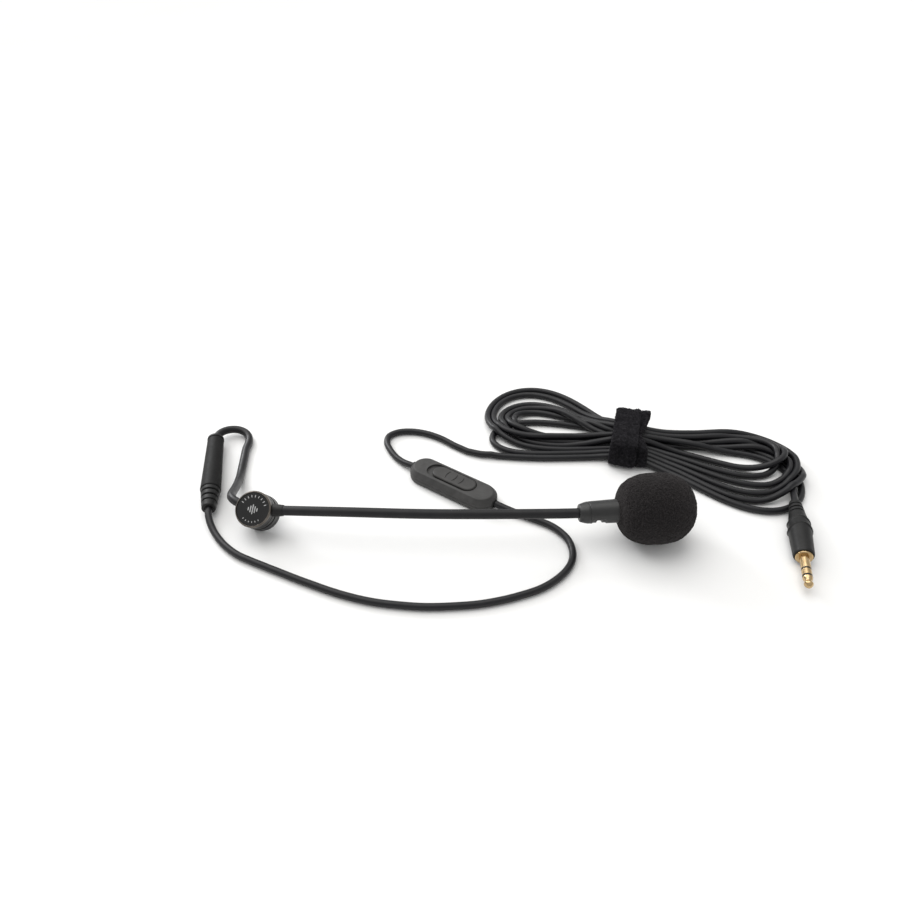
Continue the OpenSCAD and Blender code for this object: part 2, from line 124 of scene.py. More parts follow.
class Shader:
    """A Principled material with a few short ways to add procedural detail."""

    def __init__(self, name, **fixed):
        self.material = bpy.data.materials.new(name)
        self.material.use_nodes = True
        self.tree = self.material.node_tree
        self.surface = self.tree.nodes["Principled BSDF"]
        for socket, value in fixed.items():
            self.surface.inputs[socket.replace("_", " ")].default_value = value
        self.where = self.tree.nodes.new("ShaderNodeTexCoord").outputs["Object"]
        self.bumps = None

    def link(self, source, target):
        self.tree.links.new(source, target)

    def noise(self, scale, detail=3.0, rough=0.5, stretch=None):
        node = self.tree.nodes.new("ShaderNodeTexNoise")
        node.inputs["Scale"].default_value = scale
        node.inputs["Detail"].default_value = detail
        node.inputs["Roughness"].default_value = rough
        where = self.where
        if stretch:
            mapping = self.tree.nodes.new("ShaderNodeMapping")
            mapping.inputs["Scale"].default_value = stretch
            self.link(where, mapping.inputs["Vector"])
            where = mapping.outputs["Vector"]
        self.link(where, node.inputs["Vector"])
        return node.outputs["Fac"]

    def cells(self, scale):
        node = self.tree.nodes.new("ShaderNodeTexVoronoi")
        node.inputs["Scale"].default_value = scale
        self.link(self.where, node.inputs["Vector"])
        return node.outputs["Distance"]

    def colours(self, value, stops):
        """Base colour from a value, as (position, (r, g, b)) stops."""
        ramp = self.tree.nodes.new("ShaderNodeValToRGB")
        elements = ramp.color_ramp.elements
        while len(elements) < len(stops):
            elements.new(0.5)
        for element, (place, colour) in zip(elements, stops):
            element.position = place
            element.color = (*colour, 1)
        self.link(value, ramp.inputs["Fac"])
        self.link(ramp.outputs["Color"], self.surface.inputs["Base Color"])

    def roughness(self, value, low, high):
        node = self.tree.nodes.new("ShaderNodeMapRange")
        node.inputs["From Min"].default_value = 0.3
        node.inputs["From Max"].default_value = 0.7
        node.inputs["To Min"].default_value = low
        node.inputs["To Max"].default_value = high
        self.link(value, node.inputs["Value"])
        self.link(node.outputs["Result"], self.surface.inputs["Roughness"])

    def bump(self, height, depth, strength=1.0):
        node = self.tree.nodes.new("ShaderNodeBump")
        node.inputs["Distance"].default_value = depth
        node.inputs["Strength"].default_value = strength
        self.link(height, node.inputs["Height"])
        if self.bumps:
            self.link(self.bumps, node.inputs["Normal"])
        self.bumps = node.outputs["Normal"]
        self.link(self.bumps, self.surface.inputs["Normal"])


def moulded(name, dark, light, rough, grain=2600, depth=0.02 * MM, **fixed):
    """Moulded plastic or rubber: a fine spark-eroded grain over slow patches of colour."""
    s = Shader(name, **{"Specular_IOR_Level": 0.3, **fixed})
    s.colours(s.noise(220, 4), [(0.35, dark), (0.65, light)])
    s.roughness(s.noise(900, 5, 0.65), *rough)
    s.bump(s.noise(grain, 3, 0.6), depth)
    return s.material


def metal(name, dark, light, rough, stretch=(1, 1, 1)):
    """Plated or brushed metal, with fine marks along the stretched direction."""
    scale = 1800
    s = Shader(name, Metallic=1.0)
    s.colours(s.noise(500, 3), [(0.3, dark), (0.7, light)])
    s.roughness(s.noise(scale, 4, 0.6, stretch), *rough)
    s.bump(s.noise(scale, 3, 0.6, stretch), 0.006 * MM)
    return s.material


def cord_jacket():
    s = Shader("cord_jacket", Specular_IOR_Level=0.35)
    s.colours(s.noise(160, 4), [(0.3, (0.0042, 0.0042, 0.0055)), (0.7, (0.008, 0.0078, 0.0096))])
    s.roughness(s.noise(700, 4, 0.6), 0.34, 0.48)
    s.bump(s.noise(1500, 4, 0.6), 0.02 * MM)
    s.bump(s.noise(300, 2), 0.05 * MM, 0.6)
    return s.material


def boom_rubber():
    s = Shader("boom_rubber", Specular_IOR_Level=0.3)
    s.colours(s.noise(200, 4), [(0.3, (0.007, 0.0069, 0.0082)), (0.7, (0.012, 0.0115, 0.0128))])
    s.roughness(s.noise(800, 4, 0.6), 0.42, 0.56)
    s.bump(s.noise(2200, 4, 0.6), 0.016 * MM)
    return s.material


def open_foam():
    """Open-cell foam: painted shade in its pores, with the warmer struts between them lighter."""
    s = Shader("open_foam", Roughness=0.95, Specular_IOR_Level=0.08, Sheen_Weight=0.12,
               Sheen_Roughness=0.6, Sheen_Tint=(0.5, 0.46, 0.46, 1))
    pores = s.cells(2300)
    # The colour follows the pore cells: painted shade darkens the pores.
    s.colours(pores, [(0.0, (0.002, 0.0018, 0.0018)), (0.35, (0.0078, 0.0072, 0.0073)),
                      (0.75, (0.0215, 0.0196, 0.0198))])
    s.bump(s.noise(2600, 4, 0.7), 0.25 * MM)
    s.bump(pores, 0.3 * MM, 0.8)
    return s.material


def loop_fabric():
    """The brushed side of a hook-and-loop strap, with painted shade between its tufts."""
    s = Shader("loop_fabric", Roughness=0.9, Specular_IOR_Level=0.08, Sheen_Weight=0.12,
               Sheen_Roughness=0.5, Sheen_Tint=(0.45, 0.43, 0.48, 1))
    tufts = s.noise(900, 6, 0.8)
    # The colour follows the tufts' height: painted shade down in the hollows between the tufts.
    s.colours(tufts, [(0.38, (0.0012, 0.0012, 0.0014)), (0.52, (0.0085, 0.008, 0.0095)),
                      (0.66, (0.028, 0.026, 0.029))])
    s.bump(tufts, 0.5 * MM)
    s.bump(s.cells(2600), 0.2 * MM, 0.7)
    return s.material


def gold_plate():
    s = Shader("gold_plate", Metallic=1.0)
    s.colours(s.noise(400, 3), [(0.3, (0.46, 0.32, 0.16)), (0.7, (0.62, 0.46, 0.26))])
    s.roughness(s.noise(1500, 4, 0.6), 0.16, 0.3)
    s.bump(s.noise(2600, 3, 0.6), 0.006 * MM)
    return s.material


def make_materials():
    def grey(v, warm=0.0):
        return v * (1 + warm), v, v * (1 - warm)

    return {
        "foam": open_foam(),
        "black_plastic": moulded("satin_moulding", grey(0.007), grey(0.012), (0.36, 0.5),
                                 Specular_IOR_Level=0.55),
        "soft_plastic": moulded("soft_moulding", grey(0.005), grey(0.009), (0.42, 0.54)),
        "barrel_plastic": moulded("barrel_moulding", grey(0.0035), grey(0.0065), (0.55, 0.68),
                                  Specular_IOR_Level=0.2),
        "switch_plastic": moulded("eroded_moulding", grey(0.038, 0.02), grey(0.055, 0.02),
                                  (0.48, 0.62), grain=3000, depth=0.05 * MM),
        "knob_plastic": moulded("knob_moulding", grey(0.032, 0.03), grey(0.046, 0.03),
                                (0.4, 0.52)),
        "boom_rubber": boom_rubber(),
        "rubber": moulded("gland_rubber", grey(0.005), grey(0.009), (0.42, 0.58)),
        "cord": cord_jacket(),
        "badge": moulded("badge_gloss", grey(0.004), grey(0.007), (0.1, 0.18), depth=0.002 * MM,
                         Coat_Weight=0.4, Coat_Roughness=0.06),
        "print": moulded("badge_print", grey(0.34), grey(0.46), (0.35, 0.5), depth=0.006 * MM),
        "trim": metal("trim_satin", grey(0.1, 0.12), grey(0.17, 0.12), (0.28, 0.42), (1, 1, 8)),
        "steel": metal("bright_steel", grey(0.5), grey(0.62), (0.22, 0.38), (1, 1, 12)),
        "magnet": metal("nickel_plate", grey(0.58, 0.03), grey(0.7, 0.03), (0.12, 0.24)),
        "felt": moulded("grey_felt", grey(0.03), grey(0.07), (0.85, 1.0), 3500, 0.2 * MM),
        "board": moulded("solder_mask", (0.01, 0.06, 0.025), (0.02, 0.1, 0.04), (0.3, 0.45)),
        "copper_wire": moulded("wire_lacquer", (0.2, 0.03, 0.02), (0.3, 0.05, 0.03), (0.3, 0.4)),
        "sticky_foam": moulded("foam_tape", grey(0.02), grey(0.04), (0.8, 0.95), 3500, 0.1 * MM),
        "white_plastic": moulded("natural_plastic", grey(0.6), grey(0.72), (0.4, 0.5)),
        "tie": loop_fabric(),
        "gold": gold_plate(),
        "insulator": moulded("moulded_band", grey(0.004), grey(0.008), (0.3, 0.4)),
    }


# ---- mesh helpers ----


def catmull(points, step):
    """Points about every step along a centripetal Catmull-Rom curve through the points."""
    p = np.vstack([2 * points[0] - points[1], points, 2 * points[-1] - points[-2]])
    parts = []
    for i in range(1, len(p) - 2):
        a, b, c, d = p[i - 1:i + 3]
        t1 = np.linalg.norm(b - a) ** 0.5
        t2 = t1 + np.linalg.norm(c - b) ** 0.5
        t3 = t2 + np.linalg.norm(d - c) ** 0.5
        t = np.linspace(t1, t2, 24, endpoint=False)[:, None]
        ab = (t1 - t) / t1 * a + t / t1 * b
        bc = (t2 - t) / (t2 - t1) * b + (t - t1) / (t2 - t1) * c
        cd = (t3 - t) / (t3 - t2) * c + (t - t2) / (t3 - t2) * d
        abc = (t2 - t) / t2 * ab + t / t2 * bc
        bcd = (t3 - t) / (t3 - t1) * bc + (t - t1) / (t3 - t1) * cd
        parts.append((t2 - t) / (t2 - t1) * abc + (t - t1) / (t2 - t1) * bcd)
    parts.append(p[-2:-1])
    return evenly(np.vstack(parts), step)


def evenly(line, step):
    """The line again, with points a whole number of equal steps apart."""
    along = np.r_[0, np.cumsum(np.linalg.norm(np.diff(line, axis=0), axis=1))]
    places = np.linspace(0, along[-1], int(round(along[-1] / step)) + 1)
    return np.stack([np.interp(places, along, line[:, k]) for k in range(3)], 1)


def new_mesh(name, verts, faces, body, slot, sharp=35):
    mesh = bpy.data.meshes.new(name)
    mesh.from_pydata([tuple(v) for v in verts], [], [tuple(f) for f in faces])
    mesh.update()
    mesh.polygons.foreach_set("use_smooth", [True] * len(mesh.polygons))
    mesh.set_sharp_from_angle(angle=math.radians(sharp))
    obj = placed(name, mesh)
    mesh.materials.append(MATERIALS[slot])
    if body:
        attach(obj, body)
    return obj


def rings_to_faces(count, sides, loop=False):
    """Quads between rings of sides vertices each; loop joins the last ring to the first."""
    faces = []
    for i in range(count if loop else count - 1):
        j = (i + 1) % count
        for k in range(sides):
            n = (k + 1) % sides
            faces.append((i * sides + k, i * sides + n, j * sides + n, j * sides + k))
    return faces


def caps(count, sides):
    first = tuple(range(sides))[::-1]
    last = tuple((count - 1) * sides + k for k in range(sides))
    return [first, last]


def tube(name, line, radius, body, slot, sides=16, flare=None, bore=0):
    """A closed round tube along a line. flare(i) is a factor on its radius at point i, and a
    bore makes it hollow, open at both ends."""
    tangents = np.gradient(line, axis=0)
    tangents /= np.linalg.norm(tangents, axis=1)[:, None]
    side = np.cross(tangents[0], (0, 0, 1))
    side /= np.linalg.norm(side)
    turns = np.linspace(0, 2 * math.pi, sides, endpoint=False)
    outer, inner = [], []
    for i, (point, tangent) in enumerate(zip(line, tangents)):
        side = side - tangent * side.dot(tangent)
        side /= np.linalg.norm(side)
        up = np.cross(tangent, side)
        circle = [math.cos(t) * side + math.sin(t) * up for t in turns]
        outer.append([point + radius * (flare(i) if flare else 1) * c for c in circle])
        inner.append([point + bore * c for c in circle])
    rings = outer + inner[::-1] if bore else outer
    faces = rings_to_faces(len(rings), sides, bool(bore))
    if not bore:
        faces += caps(len(rings), sides)
    return new_mesh(name, [p for ring in rings for p in ring], faces, body, slot, 60)


class Axis:
    """A line in the model, with two directions across it, that pieces are built along."""

    def __init__(self, origin, direction, side=(0, 0, 1)):
        self.origin = np.array(origin, float)
        self.along = np.array(direction, float) / np.linalg.norm(direction)
        across = np.array(side, float) - self.along * np.dot(side, self.along)
        self.up = across / np.linalg.norm(across)
        self.side = np.cross(self.up, self.along)

    def point(self, u, v, w):
        """A point u to the side, v up and w along."""
        return self.origin + u * self.side + v * self.up + w * self.along

    def span(self, node):
        """Where a CAD node lies on the axis: lowest, highest and greatest radius."""
        co = np.array([v.co for v in NODES[node].data.vertices], float) - self.origin
        w = co @ self.along
        r = np.linalg.norm(co - np.outer(w, self.along), axis=1)
        return float(w.min()), float(w.max()), float(r.max())


def middle(node):
    low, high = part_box(node)
    return np.array((low + high) / 2)


def rounded(points, radius, steps=4, loop=False):
    """The outline with its corners rounded, and a support point on each side of a corner."""
    p = np.array(points, float)
    out = [] if loop else [p[0]]
    for i in range(0 if loop else 1, len(p) if loop else len(p) - 1):
        a, b, c = p[i - 1], p[i], p[(i + 1) % len(p)]
        to_a, to_c = a - b, c - b
        room = 0.45 * min(np.linalg.norm(to_a), np.linalg.norm(to_c))
        cut = min(radius, room * 0.8)
        ua, uc = to_a / np.linalg.norm(to_a), to_c / np.linalg.norm(to_c)
        if abs(np.cross(ua, uc)) < 0.2 and ua.dot(uc) < 0:
            out.append(b)
            continue
        start, end = b + ua * cut, b + uc * cut
        out.append(start + ua * cut * 0.2)
        for t in np.linspace(0, 1, steps + 1):
            out.append((1 - t) ** 2 * start + 2 * t * (1 - t) * b + t * t * end)
        out.append(end + uc * cut * 0.2)
    if not loop:
        out.append(p[-1])
    return np.array(out)


def turned(name, axis, profile, body, slot, sides=72, loop=False, shape=None):
    """A piece turned about an axis from (radius, along) points. loop closes a ring's section.
    shape(radius, along, turn) may move a point, and gives its new radius and along."""
    angles = np.linspace(0, 2 * math.pi, sides, endpoint=False)
    verts = []
    for r, w in profile:
        for t in angles:
            rr, ww = shape(r, w, t) if shape else (r, w)
            verts.append(axis.point(rr * math.cos(t), rr * math.sin(t), ww))
    faces = rings_to_faces(len(profile), sides, loop)
    if not loop:
        faces += caps(len(profile), sides)
    return new_mesh(name, verts, faces, body, slot)


def ring(name, axis, section, radius, body, slot, sides=96, steps=4):
    """A ring turned from a closed section, with its corners rounded."""
    return turned(name, axis, rounded(section, radius, steps, True), body, slot, sides, True)


def hill(x, height, place, width):
    """How high a smooth hill, centred on its place, is at x."""
    return height * math.exp(-((x - place) / width) ** 2)


def stadium(length, width, x, sides=24, straight=6):
    """Points round a round-ended outline, in order, centred on x."""
    r = width / 2
    half = (length - width) / 2
    points = []
    for sign in (1, -1):
        for t in np.linspace(-math.pi / 2, math.pi / 2, sides):
            points.append((x + sign * (half + r * math.cos(t)), sign * r * math.sin(t)))
        for t in np.linspace(0, 1, straight + 2)[1:-1]:
            points.append((x + sign * (half - 2 * half * t), sign * r))
    return points


def pill(name, axis, rings, body, slot):
    """A round-ended piece from (length, width, height, x) rings, closed at both ends."""
    verts = []
    for length, width, height, x in rings:
        verts.extend(axis.point(px, py, height) for px, py in stadium(length, width, x))
    sides = len(verts) // len(rings)
    faces = rings_to_faces(len(rings), sides) + caps(len(rings), sides)
    return new_mesh(name, verts, faces, body, slot)


make_camera()
make_studio()
MATERIALS = make_materials()


# ---- cords ----

CORD_R = 1.35 * MM
MIC_LEAD_R = 1.65 * MM

# Routes in millimetres: the part's own points, but for those where the long cord meets its hank.
MIC_LEAD_ROUTE = np.array([
    (-83.5, 5, 11), (-84.7, 5.5, 11.2), (-86.9, 6.9, 11.3), (-88.5, 9, 11), (-89.3, 11.5, 10.1),
    (-89.7, 15.1, 8.6), (-90, 18.8, 7), (-90.4, 22.4, 5.4), (-90.9, 26, 3.9), (-91.3, 29.8, 2.7),
    (-91.8, 33.8, 1.9), (-92.2, 38.5, 1.7), (-92.6, 44, 1.7), (-93, 50, 1.7), (-92.8, 54.6, 1.7),
    (-93.5, 58, 1.9), (-95.4, 60.6, 2.3), (-98.3, 61.9, 2.8), (-101.4, 61.7, 3.2),
    (-104.1, 60.1, 3.6), (-105.8, 57.5, 3.9), (-106.3, 54, 4), (-106, 52, 4)])
FRONT_ROUTE = np.array([
    (-99.7, 14.8, 4), (-98.9, 10.1, 4), (-98.3, 7, 3.5), (-97.2, 4.2, 2.7), (-95.2, 0.6, 1.8),
    (-91.6, -4.3, 1.4), (-87.7, -8.4, 1.4), (-83.2, -11.9, 1.4), (-78.2, -14.6, 1.4),
    (-72.1, -17.6, 1.4), (-65.9, -20.6, 1.4), (-59.7, -23.6, 1.4), (-53.7, -26.3, 1.4),
    (-47.8, -28.9, 1.4), (-42, -31.1, 1.4), (-36.3, -32.9, 1.4), (-30.4, -34.3, 1.4),
    (-22.8, -35.4, 1.4), (-14.6, -36.1, 1.4), (-6, -35.9, 1.4), (3.7, -35, 1.4),
    (10.9, -33.5, 1.4), (18.3, -31.2, 1.4), (25.9, -28, 1.4), (31.1, -24.4, 1.4),
    (35.6, -19.8, 1.4), (38.3, -15, 1.4), (39.2, -10.2, 1.4), (38.4, -4.6, 1.4), (35.9, 0, 1.4),
    (32.4, 3.6, 1.4), (28.2, 6.2, 1.4), (23.4, 8.6, 1.5), (17.6, 11.5, 1.8), (12.6, 14.3, 2.3),
    (8.2, 17.1, 2.6)])
BACK_ROUTE = np.array([
    (-18, 35.4, 2.6), (-22.2, 38.3, 2.4), (-25.6, 41, 1.8), (-28.7, 44.6, 1.4),
    (-31.6, 49.5, 1.4), (-33.4, 54.8, 1.4), (-32.8, 59.2, 1.4), (-29, 62, 1.4), (-22.8, 62.6, 1.4),
    (-16, 60.8, 1.4), (-10, 57.4, 1.4), (-4.2, 52.6, 1.4), (1.2, 48.8, 1.4), (7, 46.8, 1.5),
    (13, 46.2, 1.6), (19, 45.4, 1.5), (31, 44.3, 1.4), (45, 45.4, 1.5)])
PLUG_ROUTE = np.array([
    (132.9, 30.5, 1.4), (131.4, 26, 1.7), (130.2, 21.5, 2.6), (128.9, 17, 3.7),
    (127.9, 13.6, 4.2), (126.8, 8.9, 4.25)])

# The hank's turns, in millimetres: each end is an ellipse's centre, its two radii, and the
# angles that the cord goes round it from and to.
TIE_AT = np.array([69.6, 53.3])
TIE_TURN = math.radians(-8)
TIE_ALONG = np.array([math.cos(TIE_TURN), math.sin(TIE_TURN)])
TIE_ACROSS = np.array([-TIE_ALONG[1], TIE_ALONG[0]])
TIE_SKEW = math.tan(math.radians(12))
TIE_Y = 10.7
TIE_TOP = 8.2
TIE_BOTTOM = 1.3
LEFT_ENDS = [
    (21.5, 57.8, 11.2, 10.6, 80, 285), (31.5, 66, 12.4, 12.2, 55, 290),
    (31, 68, 13.2, 13.4, 45, 290), (31.5, 69.5, 14.8, 15.8, 35, 290),
    (33.5, 73.2, 22.5, 22.6, 5, 290), (31.5, 73.3, 19, 18.9, 10, 290)]
RIGHT_ENDS = [
    (117, 31.2, 20, 21, -157, 80), (118, 32.95, 18.9, 19.35, -155, 80),
    (119.5, 38.5, 16.2, 13.5, -150, 80), (120.5, 42.25, 13.4, 11.25, -140, 80),
    (125.5, 44.9, 9.7, 8.6, -115, 75), (119.3, 36.8, 17.9, 17.8, -145, 80)]
RIGHT_LEVELS = [0, 1, 2, 3, 5, 6]
BACKWARD_LANES = [8.7, 5.8, 2.9, 4.3, 8.9, 7]
FORWARD_LANES = [-7.9, -5.1, -2.3, 0.4, 0.8, -3.6]
LAST_LANE = 3
LAST_LEVEL = 4
LAST_RUN = np.array([(98, 55, 1.4), (112, 52.5, 1.4), (124, 48.5, 1.4), (131.5, 42.5, 1.4),
                     (134.2, 36.5, 1.4)])
LAST_RUN_LIFT = np.array([1, 1, 0.9, 0.7, 0.4])
LEVEL_H = 3.1
CORD_MM = CORD_R / MM
STEP = 1.5
LEAD_IN = 12


def lane(place, level, ways):
    """Three points through the tie, at a place across it. ways runs along it, +1 or -1."""
    points = []
    for u in (-8 * ways, 0, 8 * ways):
        xy = TIE_AT + TIE_ALONG * u + TIE_ACROSS * (place - u * TIE_SKEW)
        points.append((*xy, 2 * CORD_MM + LEVEL_H * level))
    return np.array(points)


def hank_end(end, level):
    cx, cy, ax, ay, start, stop = end
    t = np.radians(np.linspace(start, stop, 9))
    height = np.full(9, CORD_MM + LEVEL_H * level)
    return np.stack([cx + ax * np.cos(t), cy + ay * np.sin(t), height], 1)


def wound_cord():
    """The long cord as it is wound, each turn a level above the one before."""
    points = [BACK_ROUTE[LEAD_IN:]]
    for k, (left, right, level) in enumerate(zip(LEFT_ENDS, RIGHT_ENDS, RIGHT_LEVELS)):
        points.append(lane(FORWARD_LANES[k], (max(k - 1, 0) + level) / 2, 1))
        points.append(hank_end(right, level))
        points.append(lane(BACKWARD_LANES[k], (level + k) / 2, -1))
        points.append(hank_end(left, k))
    points.append(lane(LAST_LANE, (len(LEFT_ENDS) - 1 + LAST_LEVEL) / 2, 1))
    last = LAST_RUN.copy()
    last[:, 2] += LEVEL_H * LAST_LEVEL * LAST_RUN_LIFT
    points += [last, PLUG_ROUTE]
    return catmull(np.vstack(points), STEP)


def stiffened(p):
    """How each point would move to even out the bends over three spans."""
    total = np.zeros_like(p)
    for stride, share in ((4, 0.2), (2, 0.2), (1, 0.3)):
        middle_of = np.zeros_like(p)
        middle_of[stride:-stride] = (p[:-2 * stride] + p[2 * stride:]) / 2 - p[stride:-stride]
        move = np.zeros_like(p)
        beside = middle_of[:-2 * stride] + middle_of[2 * stride:]
        move[stride:-stride] = middle_of[stride:-stride] - beside / 2
        move[:2 * stride] = 0
        move[-2 * stride:] = 0
        total += share * move
        p = p + share * move
    return total


def pushed_apart(p, first, second):
    """How each point would move so that no two turns share their space."""
    gap = 2 * CORD_MM + 0.03
    away = p[second] - p[first]
    far = np.linalg.norm(away, axis=1)
    near = far < gap
    first, second, away, far = first[near], second[near], away[near], far[near]
    push = (0.5 * (gap - far) / np.maximum(far, 1e-6))[:, None] * away
    count = len(p)
    move = np.stack([np.bincount(second, push[:, k], count)
                     - np.bincount(first, push[:, k], count) for k in range(3)], 1)
    shares = np.bincount(first, minlength=count) + np.bincount(second, minlength=count)
    return move / np.sqrt(np.maximum(shares, 1))[:, None]


def settled(p, rounds):
    """The wound cord let down on the floor, bundled in its tie, turn beside turn. Millimetres."""
    sink, homing, pull_share, slack = 0.04, 0.05, 0.25, 1.6
    loose_top, half_tie = 28, 6.5
    homing_rounds, tying_rounds = 0.8 * rounds, 0.6 * rounds
    flat = p.copy()
    flat[:, 2] = np.minimum(flat[:, 2], 4)
    rest = np.linalg.norm(np.diff(flat, axis=0), axis=1).mean()
    plan = p[:, :2].copy()
    free = np.ones(len(p), bool)
    free[:8] = False
    free[-16:] = False
    moves = free[:, None].astype(float)
    neighbours = int(math.ceil(4.4 * CORD_MM / rest))
    for i in range(rounds):
        p[:, 2] -= sink * moves[:, 0]
        if i < homing_rounds:
            p[:, :2] += homing * (plan - p[:, :2]) * moves
        p += stiffened(p) * moves
        for _ in range(4):
            d = np.diff(p, axis=0)
            length = np.linalg.norm(d, axis=1)
            pull = (pull_share * (length - rest) / length)[:, None] * d
            move = np.zeros_like(p)
            move[:-1] += pull
            move[1:] -= pull
            p += move * moves
        if i % 10 == 0:
            squares = ((p[:, None] - p[None]) ** 2).sum(-1)
            close = np.triu(squares < (2 * CORD_MM + slack) ** 2, neighbours)
            first, second = np.where(close)
        for _ in range(2):
            p += pushed_apart(p, first, second) * moves
        u = (p[:, :2] - TIE_AT) @ TIE_ALONG
        v = (p[:, :2] - TIE_AT) @ TIE_ACROSS
        tied = (np.abs(u) < half_tie) & free
        v = np.clip(v + u * TIE_SKEW, -TIE_Y, TIE_Y) - u * TIE_SKEW
        squeezed = TIE_AT + np.outer(u, TIE_ALONG) + np.outer(v, TIE_ACROSS)
        p[tied, :2] = squeezed[tied]
        top = loose_top + (TIE_TOP - loose_top) * min(i / tying_rounds, 1)
        p[tied, 2] = np.clip(p[tied, 2], TIE_BOTTOM + CORD_MM, top)
        p[:, 2] = np.maximum(p[:, 2], CORD_MM)
    return p


def long_cord_line():
    lead = catmull(BACK_ROUTE[:LEAD_IN + 1], STEP)
    rounds = 1300
    wound = settled(wound_cord(), rounds)
    return np.vstack([lead[:-1], wound]) * MM


# ---- clasp ----

CLASP = Axis(JOINTS["clasp_swivel"]["pos_m"], JOINTS["clasp_swivel"]["axis"])


def clasp_shell():
    low, high, r = CLASP.span("clasp_housing")
    wall = 1 * MM
    stem = 2.08 * MM
    waist = 0.25 * MM
    section = [(stem, low), (r - 0.1 * MM, low), (r, low + 0.6 * MM), (r, low + 2.2 * MM),
               (r - waist, low + 2.3 * MM), (r - waist, low + 2.55 * MM), (r, low + 2.65 * MM),
               (r, high), (r - wall, high), (r - wall, low + wall), (stem, low + wall)]
    shell = ring("clasp_shell", CLASP, section, 0.18 * MM, "clasp", "black_plastic", 128, 3)
    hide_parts("clasp_housing")


def badge_edge():
    """The badge's radius: it leaves only a thin bright lip of the trim ring round it."""
    return CLASP.span("trim_ring")[2] - 0.62 * MM


def trim_ring():
    low, high, r = CLASP.span("trim_ring")
    badge = badge_edge()
    floor = CLASP.span("clasp_badge")[0]
    section = [(r, low), (r, high - 0.5 * MM), (r - 0.42 * MM, high), (badge + 0.08 * MM, high),
               (badge + 0.02 * MM, high - 0.3 * MM), (badge + 0.02 * MM, floor),
               (badge - 1.2 * MM, floor), (badge - 1.2 * MM, low)]
    bezel = ring("clasp_trim_ring", CLASP, section, 0.16 * MM, "clasp", "trim", 128)
    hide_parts("trim_ring")


def printed_mark(name, axis, length, width, low, high):
    pill(f"badge_print_{name}", axis, [(length, width, h, 0) for h in (low, high)], "clasp",
         "print")


def printed_tick(number, turn, inner, outer, face):
    """A short radial line of print on the badge."""
    at = CLASP.point(math.cos(turn) * (inner + outer) / 2, math.sin(turn) * (inner + outer) / 2, 0)
    outwards = math.cos(turn) * CLASP.side + math.sin(turn) * CLASP.up
    axis = Axis(at, CLASP.along, np.cross(CLASP.along, outwards))
    printed_mark(f"tick_{number}", axis, outer - inner, 0.3 * MM, face - 0.08 * MM,
                 face + 0.06 * MM)


def badge_disc():
    """A domed gloss disc, with plain ticks and the bars of a sound wave printed on it."""
    low, high, _ = CLASP.span("clasp_badge")
    r = badge_edge()
    dome = 0.14 * MM

    def face(radius):
        return high + dome * (1 - (radius / r) ** 2)

    rings = [(r * t, face(r * t)) for t in np.linspace(1, 0.01, 18)]
    profile = [(0.05 * MM, low), (r - 0.1 * MM, low), (r, low + 0.1 * MM)] + rings
    disc = turned("badge_disc", CLASP, profile, "clasp", "badge", 128)
    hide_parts("clasp_badge")
    turns = [*np.linspace(25, 155, 9), *np.linspace(232, 308, 6)]
    for number, turn in enumerate(turns, 1):
        inner, outer = (4.35 * MM, 5.3 * MM) if turn < 180 else (4.5 * MM, 5.1 * MM)
        printed_tick(number, math.radians(turn), inner, outer, face(4.85 * MM))
    for number, length in enumerate((1.3, 2.5, 3.7, 2.5, 1.3), 1):
        axis = Axis(CLASP.point((number - 3) * 0.85 * MM, -0.1 * MM, 0), CLASP.along, CLASP.side)
        height = face(1 * MM)
        printed_mark(f"bar_{number}", axis, length * MM, 0.42 * MM, height - 0.1 * MM,
                     height + 0.06 * MM)


def clasp_base():
    low, high, r = CLASP.span("base_clasp")
    table = CLASP.span("turntable")[2] + 0.15 * MM
    magnet_low, magnet_high, magnet_r = CLASP.span("base_magnet")
    groove = 0.2 * MM
    section = [(r - 0.35 * MM, low), (r, low + 0.4 * MM), (r, low + 1.5 * MM),
               (r - groove, low + 1.6 * MM), (r - groove, low + 1.8 * MM), (r, low + 1.9 * MM),
               (r, high), (table, high), (table, magnet_high), (magnet_r, magnet_high),
               (magnet_r, magnet_low), (0.3 * MM, magnet_low), (0.3 * MM, low)]
    base = ring("base_cup", CLASP, section, 0.18 * MM, "base", "black_plastic", 128, 3)
    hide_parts("base_clasp")


def pad_disc():
    low, high, r = CLASP.span("sticky_pad")

    def ragged(radius, w, t):
        place = Vector((math.cos(t), math.sin(t), w * 2000)) * 6
        wobble = noise.noise(place) * 0.07 * MM
        return radius + wobble * min(radius / r, 1), w

    profile = [(0.05 * MM, low), (r * 0.5, low), (r - 0.1 * MM, low + 0.02 * MM),
               (r, low + 0.2 * MM), (r - 0.08 * MM, (low + high) / 2), (r, high - 0.2 * MM),
               (r - 0.1 * MM, high), (r * 0.5, high), (0.05 * MM, high)]
    pad = turned("foam_pad", CLASP, rounded(profile, 0.1 * MM, 3), "base", "sticky_foam", 180,
                 shape=ragged)
    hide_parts("sticky_pad")


# ---- boom ----

# The boom's line in millimetres, the same points as the part's own.
BOOM_POINTS = np.array([(-72.9, 2.2, 10.7), (-43, -1.6, 13.3), (-15, -2.8, 13.5), (13, -3, 13.6),
                        (40.7, -2.6, 13.7)])
BOOM_R = 1.85 * MM
SLEEVE_BORE = 1.25 * MM
BOOM = Axis(BOOM_POINTS[0] * MM, BOOM_POINTS[1] - BOOM_POINTS[0])
HEAD = Axis(BOOM_POINTS[4] * MM, JOINTS["windscreen_pull"]["axis"])

# The port behind the foam: how far along the head, and at what turn, its middle is. A notch
# is cut in the middle of a shallow window; each is half its length, half its width, its depth.
PORT_AT = 7.6 * MM
PORT_TURN = math.radians(-131)
PORT_CUTS = [(2.75 * MM, 3.9 * MM, 0.28 * MM), (1.2 * MM, 3.1 * MM, 0.95 * MM)]
HOUSING_SWELL = 0.15 * MM


